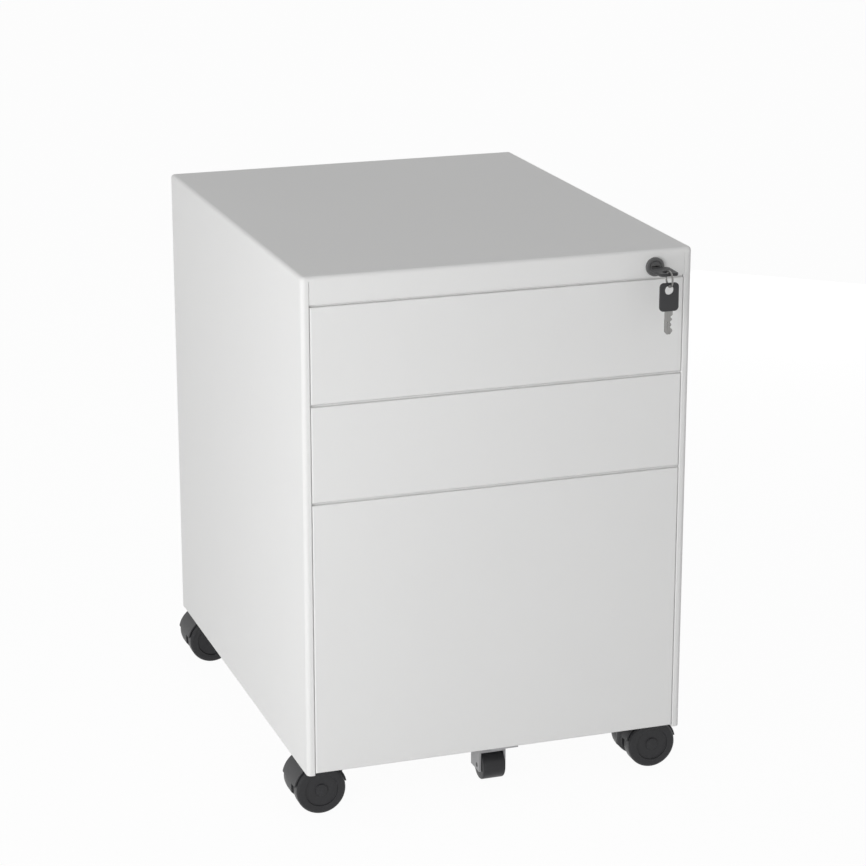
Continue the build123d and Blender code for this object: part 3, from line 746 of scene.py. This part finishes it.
def finish_material(name, group, base, bump, metallic=0.0, specular=0.5, **variation):
    """A Principled surface whose colour, gloss and bump come from the variation group."""
    material = bpy.data.materials.new(name)
    material.use_nodes = True
    tree = material.node_tree
    shader = tree.nodes["Principled BSDF"]
    shader.inputs["Metallic"].default_value = metallic
    shader.inputs["Specular IOR Level"].default_value = specular
    vary = tree.nodes.new("ShaderNodeGroup")
    vary.node_tree = group
    vary.inputs["Base"].default_value = base
    for key, value in variation.items():
        vary.inputs[key.replace("_", " ").title()].default_value = value
    relief = add_node(tree, "ShaderNodeBump", strength=bump, distance=GRAIN_DEPTH)
    tree.links.new(vary.outputs["Color"], shader.inputs["Base Color"])
    tree.links.new(vary.outputs["Roughness"], shader.inputs["Roughness"])
    tree.links.new(vary.outputs["Height"], relief.inputs["Height"])
    tree.links.new(relief.outputs["Normal"], shader.inputs["Normal"])
    return material


def finishes(context):
    """The cabinet's materials by name, made once."""
    if "Powder Coat" not in bpy.data.materials:
        look = context.scene.cabinet_finish
        group = surface_variation_group()
        finish_material(
            "Powder Coat", group, look.coat, bump=0.12,
            mottle=0.03, mottle_scale=5.0, roughness=0.55, spread=0.10, grain_scale=1100.0,
        )
        finish_material(
            "Zinc Plate", group, look.zinc, bump=0.10, metallic=1.0, stretch=(1, 0.04, 1),
            mottle=0.22, mottle_scale=260.0, roughness=0.36, spread=0.22, grain_scale=1600.0,
        )
        finish_material(
            "Black Moulding", group, look.moulding, bump=0.30, specular=0.35,
            mottle=0.20, mottle_scale=40.0, roughness=0.46, spread=0.12, grain_scale=1800.0,
        )
        finish_material(
            "Wheel Nylon", group, look.tread, bump=0.18, specular=0.3,
            mottle=0.25, mottle_scale=70.0, roughness=0.40, spread=0.20, grain_scale=900.0,
        )
        finish_material(
            "Lock Coating", group, look.lock, bump=0.12,
            mottle=0.15, mottle_scale=80.0, roughness=0.36, spread=0.12, grain_scale=1500.0,
        )
        finish_material(
            "Key Nickel", group, look.nickel, bump=0.12, metallic=1.0,
            mottle=0.15, mottle_scale=120.0, roughness=0.30, spread=0.18, grain_scale=1200.0,
        )
        finish_material(
            "Bracket Grey", group, look.bracket, bump=0.15,
            mottle=0.06, mottle_scale=30.0, roughness=0.45, spread=0.12, grain_scale=1100.0,
        )
    return bpy.data.materials


# Steps that dress the cabinet


class CABINET_OT_coat_sheet(bpy.types.Operator):
    """Give the folded sheet pieces their powder coat"""

    bl_idname = "cabinet.coat_sheet"
    bl_label = "Coat Sheet"

    def execute(self, context):
        coat_nodes(SHEET_NODES, finishes(context)["Powder Coat"])
        return {"FINISHED"}


class CABINET_OT_plate_steel(bpy.types.Operator):
    """Give slides, lock bar, screws and rails their zinc plate"""

    bl_idname = "cabinet.plate_steel"
    bl_label = "Plate Steel"

    def execute(self, context):
        coat_nodes(PLATED_NODES, finishes(context)["Zinc Plate"])
        return {"FINISHED"}


class CABINET_OT_fill_cages(bpy.types.Operator):
    """Make the ball cages: a retainer of three strips and a row of balls in each track"""

    bl_idname = "cabinet.fill_cages"
    bl_label = "Fill Ball Cages"

    def execute(self, context):
        for node, body in CAGE_BODIES.items():
            mesh = NODES[node].data
            places = np.empty(3 * len(mesh.vertices), dtype=np.float32)
            mesh.vertices.foreach_get("co", places)
            places = places.reshape(-1, 3).astype(float)
            piece = piece_from_grids(f"{node}_with_balls", cage_grids(places, -1) + cage_grids(places, 1))
            stand_for(piece, body, finishes(context)["Zinc Plate"], node)
        return {"FINISHED"}


class CABINET_OT_fit_lock(bpy.types.Operator):
    """Turn the lock's barrel with its rounded collar, and coat the plug"""

    bl_idname = "cabinet.fit_lock"
    bl_label = "Fit Lock"

    def execute(self, context):
        coating = finishes(context)["Lock Coating"]
        shapes = context.scene.cabinet_shapes
        low, high = box_of("lock_barrel")
        centre = (low + high) / 2 * (1, 0, 1)
        profile = collar_profile((high[0] - low[0]) / 2, low[1], high[1], shapes)
        turned = lathe(profile, centre, Y_AXIS, shapes.segments)
        collar = piece_from_grids("lock_collar", [(turned, True, True)])
        stand_for(collar, "cabinet", coating, "lock_barrel")
        coat_nodes(("lock_plug",), coating)
        return {"FINISHED"}


class CABINET_OT_fit_keys(bpy.types.Operator):
    """Shape both keys, with their moulded bows and cut blades, and the split ring"""

    bl_idname = "cabinet.fit_keys"
    bl_label = "Fit Keys"

    def execute(self, context):
        looks = finishes(context)
        shapes = context.scene.cabinet_shapes
        for key, away in (("key", -Y_AXIS), ("spare_key", Z_AXIS)):
            bow_grid = key_bow(*box_of(f"{key}_bow"), away, X_AXIS, shapes)
            bow = piece_from_grids(f"{key}_moulded_bow", [bow_grid])
            stand_for(bow, key, looks["Black Moulding"], f"{key}_bow")
            blade_grid = key_blade(*box_of(f"{key}_blade"), -away, X_AXIS)
            blade = piece_from_grids(f"{key}_cut_blade", [blade_grid])
            stand_for(blade, key, looks["Key Nickel"], f"{key}_blade")
        ring = piece_from_grids("split_ring", [split_ring(*box_of("key_ring"), shapes.segments)])
        stand_for(ring, "key_ring", looks["Key Nickel"], "key_ring")
        return {"FINISHED"}


class CABINET_OT_fit_casters(bpy.types.Operator):
    """Turn the twin wheels and the fifth wheel, and coat hoods and bracket"""

    bl_idname = "cabinet.fit_casters"
    bl_label = "Fit Casters"

    def execute(self, context):
        looks = finishes(context)
        nylon = looks["Wheel Nylon"]
        shapes = context.scene.cabinet_shapes
        coat_nodes([f"{corner}_caster_hood" for corner in CORNERS], looks["Black Moulding"])
        coat_nodes(("fifth_wheel_bracket",), looks["Bracket Grey"])
        for corner in CORNERS:
            node = f"{corner}_caster_wheels"
            low, high = box_of(node)
            centre = (low + high) / 2
            radius, outer = (high[2] - low[2]) / 2, (high[1] - low[1]) / 2
            wheel = wheel_profile(radius, shapes.wheel_gap, outer, shapes)
            rod, half_axle = shapes.axle_radius, outer / 2
            axle = np.array(((0, -half_axle), (rod, -half_axle), (rod, half_axle), (0, half_axle)))
            profiles = (wheel, wheel * (1, -1), axle)
            turned = [lathe(profile, centre, Y_AXIS, shapes.segments) for profile in profiles]
            wheels = piece_from_grids(f"{corner}_twin_wheels", [(grid, False, True) for grid in turned])
            stand_for(wheels, f"{corner}_wheels", nylon, node)
        low, high = box_of("fifth_wheel")
        profile = roller_profile((high[2] - low[2]) / 2, (high[0] - low[0]) / 2)
        turned = lathe(profile, (low + high) / 2, X_AXIS, shapes.segments)
        roller = piece_from_grids("fifth_roller", [(turned, False, True)])
        stand_for(roller, "fifth_wheel", nylon, "fifth_wheel")
        return {"FINISHED"}


# Stage


def softbox(name, place, target, size, power):
    """A square lamp facing a point, unseen by the camera and in reflections."""
    data = bpy.data.lights.new(name, "AREA")
    data.energy = power
    data.size = size
    lamp = bpy.data.objects.new(name, data)
    lamp.location = place
    aim = np.subtract(target, place)
    tilt = math.acos(-aim[2] / np.linalg.norm(aim))
    pan = math.atan2(aim[1], aim[0]) - math.pi / 2
    lamp.rotation_euler = (tilt, 0.0, pan)
    lamp.visible_camera = False
    lamp.visible_glossy = False
    bpy.context.scene.collection.objects.link(lamp)


def seen_directly(tree):
    """A value that is one where the camera, a reflection or a view through glass meets the surface."""
    path = add_node(tree, "ShaderNodeLightPath")
    mirrored = add_node(tree, "ShaderNodeMath", {"operation": "MAXIMUM"})
    seen = add_node(tree, "ShaderNodeMath", {"operation": "MAXIMUM"})
    tree.links.new(path.outputs["Is Glossy Ray"], mirrored.inputs[0])
    tree.links.new(path.outputs["Is Transmission Ray"], mirrored.inputs[1])
    tree.links.new(path.outputs["Is Camera Ray"], seen.inputs[0])
    tree.links.new(mirrored.outputs[0], seen.inputs[1])
    return seen.outputs[0]


def white_floor():
    """A wide pale floor: nearly white where it is seen, dimmed where the object's shadow falls."""
    side = np.linspace(-FLOOR_REACH, FLOOR_REACH, FLOOR_POINTS)
    x, y = np.meshgrid(side, side, indexing="ij")
    floor = piece_from_grids("studio_floor", [(np.stack((x, y, 0 * x), axis=-1), False, False)])
    material = bpy.data.materials.new("Studio Floor")
    material.use_nodes = True
    tree = material.node_tree
    shader = tree.nodes["Principled BSDF"]
    shader.inputs["Base Color"].default_value = (0.85, 0.85, 0.85, 1.0)
    shader.inputs["Roughness"].default_value = 0.9
    glow = add_node(tree, "ShaderNodeEmission", strength=1.0)
    share = add_node(tree, "ShaderNodeMath", {"operation": "MULTIPLY"})
    share.inputs[1].default_value = FLOOR_WHITE
    blend = add_node(tree, "ShaderNodeMixShader")
    tree.links.new(seen_directly(tree), share.inputs[0])
    tree.links.new(share.outputs[0], blend.inputs[0])
    tree.links.new(shader.outputs[0], blend.inputs[1])
    tree.links.new(glow.outputs[0], blend.inputs[2])
    tree.links.new(blend.outputs[0], tree.nodes["Material Output"].inputs["Surface"])
    floor.data.materials.append(material)


def pale_world(low_light, high_light):
    """Soft light from all round that fades towards the top, and plain white where it is seen."""
    world = bpy.data.worlds.new("Studio")
    world.use_nodes = True
    tree = world.node_tree
    sky = tree.nodes["Background"]
    sky.inputs["Color"].default_value = (1.0, 1.0, 1.0, 1.0)
    direction = add_node(tree, "ShaderNodeTexCoord")
    parts = add_node(tree, "ShaderNodeSeparateXYZ")
    fade = add_node(tree, "ShaderNodeMapRange", to_min=low_light, to_max=high_light)
    tree.links.new(direction.outputs["Generated"], parts.inputs[0])
    tree.links.new(parts.outputs["Z"], fade.inputs["Value"])
    tree.links.new(fade.outputs[0], sky.inputs["Strength"])
    white = add_node(tree, "ShaderNodeBackground", strength=1.0)
    white.inputs["Color"].default_value = (1.0, 1.0, 1.0, 1.0)
    blend = add_node(tree, "ShaderNodeMixShader")
    tree.links.new(seen_directly(tree), blend.inputs[0])
    tree.links.new(sky.outputs[0], blend.inputs[1])
    tree.links.new(white.outputs[0], blend.inputs[2])
    tree.links.new(blend.outputs[0], tree.nodes["World Output"].inputs["Surface"])
    bpy.context.scene.world = world


class CABINET_OT_set_stage(bpy.types.Operator):
    """Lay the floor, hang the lamps and stand the camera"""

    bl_idname = "cabinet.set_stage"
    bl_label = "Set Stage"

    def execute(self, context):
        scene = context.scene
        stage = scene.cabinet_stage
        white_floor()
        pale_world(stage.low_light, stage.high_light)
        middle = np.mean(CAD_BOX, axis=0)
        softbox("left_softbox", stage.lamp_place, middle, stage.lamp_size, stage.lamp_power)
        softbox("rear_softbox", stage.fill_place, middle, stage.fill_size, stage.fill_power)
        data = bpy.data.cameras.new("photo_camera")
        data.sensor_fit = "HORIZONTAL"
        data.sensor_width = 36.0
        data.lens = stage.camera_lens
        camera = bpy.data.objects.new("photo_camera", data)
        camera.location = stage.camera_place
        camera.rotation_euler = (math.pi / 2 - stage.camera_tilt, 0.0, -stage.camera_pan)
        scene.collection.objects.link(camera)
        scene.camera = camera
        scene.view_settings.view_transform = "Standard"
        return {"FINISHED"}


# Panel and registration

STEPS = (
    CABINET_OT_coat_sheet,
    CABINET_OT_plate_steel,
    CABINET_OT_fill_cages,
    CABINET_OT_fit_lock,
    CABINET_OT_fit_keys,
    CABINET_OT_fit_casters,
    CABINET_OT_set_stage,
)


class CABINET_PT_sidebar(bpy.types.Panel):
    """Lists the cabinet's steps and values"""

    bl_idname = "CABINET_PT_sidebar"
    bl_label = "Mobile Filing Cabinet"
    bl_space_type = "VIEW_3D"
    bl_region_type = "UI"
    bl_category = "Cabinet"

    def draw(self, context):
        scene = context.scene
        column = self.layout.column()
        for step in STEPS:
            column.operator(step.bl_idname)
        for group in (scene.cabinet_finish, scene.cabinet_shapes, scene.cabinet_stage):
            for key in group.__annotations__:
                column.prop(group, key)


CLASSES = (CabinetFinish, CabinetShapes, CabinetStage, *STEPS, CABINET_PT_sidebar)


def register():
    """Register the classes and give the scene its values."""
    for kind in CLASSES:
        bpy.utils.register_class(kind)
    bpy.types.Scene.cabinet_finish = PointerProperty(type=CabinetFinish)
    bpy.types.Scene.cabinet_shapes = PointerProperty(type=CabinetShapes)
    bpy.types.Scene.cabinet_stage = PointerProperty(type=CabinetStage)


def unregister():
    """Take the values from the scene and unregister the classes."""
    del bpy.types.Scene.cabinet_stage
    del bpy.types.Scene.cabinet_shapes
    del bpy.types.Scene.cabinet_finish
    for kind in reversed(CLASSES):
        bpy.utils.unregister_class(kind)


def main():
    """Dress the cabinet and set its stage."""
    register()
    bpy.ops.cabinet.coat_sheet()
    bpy.ops.cabinet.plate_steel()
    bpy.ops.cabinet.fill_cages()
    bpy.ops.cabinet.fit_lock()
    bpy.ops.cabinet.fit_keys()
    bpy.ops.cabinet.fit_casters()
    bpy.ops.cabinet.set_stage()


if __name__ == "__main__":
    main()
